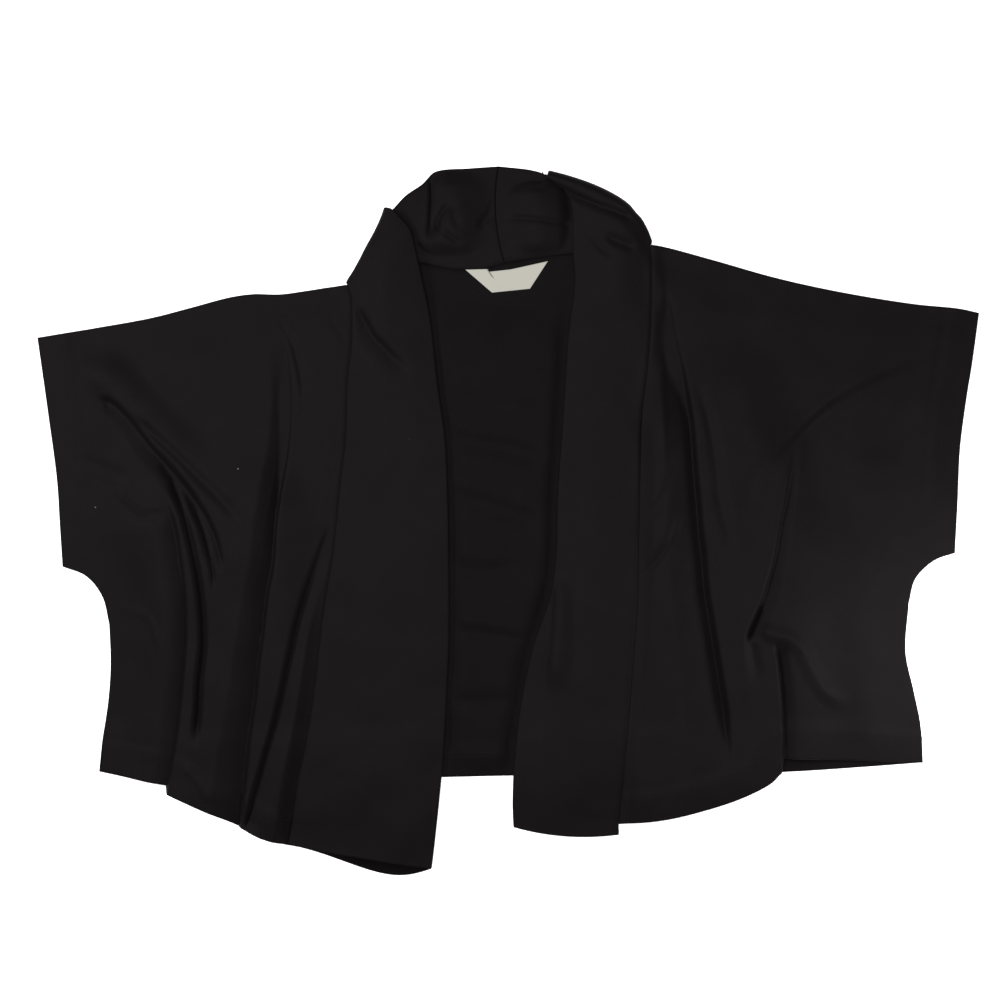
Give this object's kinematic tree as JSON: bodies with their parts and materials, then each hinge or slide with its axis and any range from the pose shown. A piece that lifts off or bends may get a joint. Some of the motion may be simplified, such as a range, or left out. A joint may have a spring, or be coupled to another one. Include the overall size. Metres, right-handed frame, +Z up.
{
  "type": "knitted shrug",
  "caption": "Open-front knitted shrug with kimono half sleeves and a doubled shawl collar band, laid flat face up with soft folds.",
  "frame": {"origin": "middle of the laid garment's outline, on the surface it lies on", "axes": "+X from the wearer's right sleeve to the left sleeve, +Y from hem to neck, +Z up off the surface"},
  "size_m": [0.7997, 0.6031, 0.02],
  "materials": {
    "black_jersey": "fine black cotton jersey, matt, with a faint nap",
    "cream_tape": "smooth cream woven tape, blank"
  },
  "bodies": {
    "root": {"back": "black_jersey", "front_right": "black_jersey", "front_left": "black_jersey", "collar_band_right": "black_jersey", "collar_band_left": "black_jersey", "neck_label": "cream_tape"}
  },
  "joints": []
}
